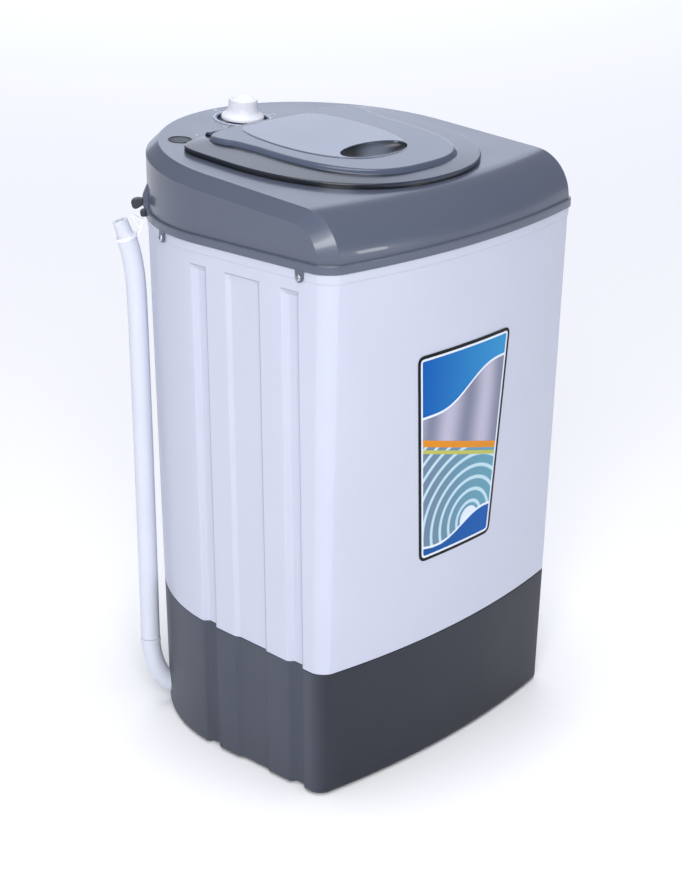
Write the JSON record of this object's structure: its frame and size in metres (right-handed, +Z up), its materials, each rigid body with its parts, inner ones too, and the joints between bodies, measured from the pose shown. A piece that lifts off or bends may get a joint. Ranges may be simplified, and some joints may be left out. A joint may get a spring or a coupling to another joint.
{
  "type": "laundry spin dryer",
  "caption": "Floor-standing single-tub laundry spin dryer: tapered two-tone casing with side flutes, smoky top lid, timer knob and a drain hose hung upright at the back left.",
  "frame": {"origin": "on the floor, under the middle of the casing", "axes": "+Z up, the bulged front faces -Y, +X to the right of someone who looks at the front"},
  "size_m": [0.3902, 0.3932, 0.6633],
  "materials": {
    "cover_plastic": "satin",
    "base_plastic": "satin",
    "cabinet_plastic": "satin",
    "lid_plastic": "gloss",
    "white_plastic": "satin",
    "hose_plastic": "satin",
    "dark_plastic": "matt",
    "rubber": "matt",
    "steel": "satin",
    "basket_steel": "satin",
    "cast_aluminium": "as cast",
    "brass": "satin",
    "label_film": "gloss",
    "capacitor_case": "matt"
  },
  "bodies": {
    "casing": {"base": "base_plastic", "cabinet": "cabinet_plastic", "top_cover": "cover_plastic", "front_label": "label_film", "cord_gland": "dark_plastic", "tub": "white_plastic", "bellows_seal": "rubber", "shaft_bush": "brass", "motor_stator": "steel", "motor_lower_shield": "cast_aluminium", "motor_carrier": "cast_aluminium", "brake_pivot": "steel", "brake_cable": "dark_plastic", "capacitor_socket": "dark_plastic", "capacitor": "capacitor_case", "lid_hinge_pin_left": "steel", "lid_hinge_pin_right": "steel", "timer_body": "dark_plastic", "inlet_strainer": "dark_plastic", "lid_switch": "dark_plastic", "sump_hose": "rubber", "sump_clamp_upper": "steel", "sump_clamp_lower": "steel", "drain_elbow": "hose_plastic", "drain_hose": "hose_plastic", "hose_cuff": "hose_plastic", "hose_hanger": "white_plastic", "foot_1": "rubber", "cover_screw_1": "steel", "foot_2": "rubber", "cover_screw_2": "steel", "foot_3": "rubber", "cover_screw_3": "steel", "foot_4": "rubber", "cover_screw_4": "steel", "damper_1": "rubber", "damper_bolt_1": "steel", "damper_2": "rubber", "damper_bolt_2": "steel", "damper_3": "rubber", "damper_bolt_3": "steel", "timer_screw_1": "steel", "timer_screw_2": "steel"},
    "lid": {"lid": "lid_plastic"},
    "timer_dial": {"timer_knob": "white_plastic", "timer_shaft": "steel"},
    "spin_assembly": {"basket": "basket_steel", "balance_ring": "white_plastic", "basket_hub": "cast_aluminium", "hub_nut": "steel", "drive_shaft": "steel", "motor_rotor": "steel", "brake_drum": "cast_aluminium"},
    "brake_arm": {"brake_lever": "steel", "brake_pad": "rubber"},
    "switch_arm": {"switch_lever": "white_plastic"}
  },
  "joints": [
    {"name": "lid_hinge", "type": "hinge", "parent": "casing", "child": "lid", "pos_m": [0, 0.08915, 0.64188], "axis": [-1, 0, 0], "range_deg": [0, 85]},
    {"name": "timer_turn", "type": "hinge", "parent": "casing", "child": "timer_dial", "pos_m": [0, 0.13261, 0.64021], "axis": [0, 0.0768, -0.997], "range_deg": [0, 300]},
    {"name": "basket_spin", "type": "hinge", "parent": "casing", "child": "spin_assembly", "pos_m": [0, -0.018, 0.35], "axis": [0, 0, 1], "continuous": true},
    {"name": "brake_swing", "type": "hinge", "parent": "casing", "child": "brake_arm", "pos_m": [0.0533, -0.05, 0.11], "axis": [0, 0, 1], "range_deg": [0, 3.3]},
    {"name": "switch_swing", "type": "hinge", "parent": "casing", "child": "switch_arm", "pos_m": [-0.066, 0.09571, 0.62443], "axis": [-1, 0, 0], "range_deg": [0, 4.3]}
  ],
  "couplings": [
    {"joint": "brake_swing", "follows": "lid_hinge", "ratio": 0.0388},
    {"joint": "switch_swing", "follows": "lid_hinge", "ratio": 0.05}
  ]
}
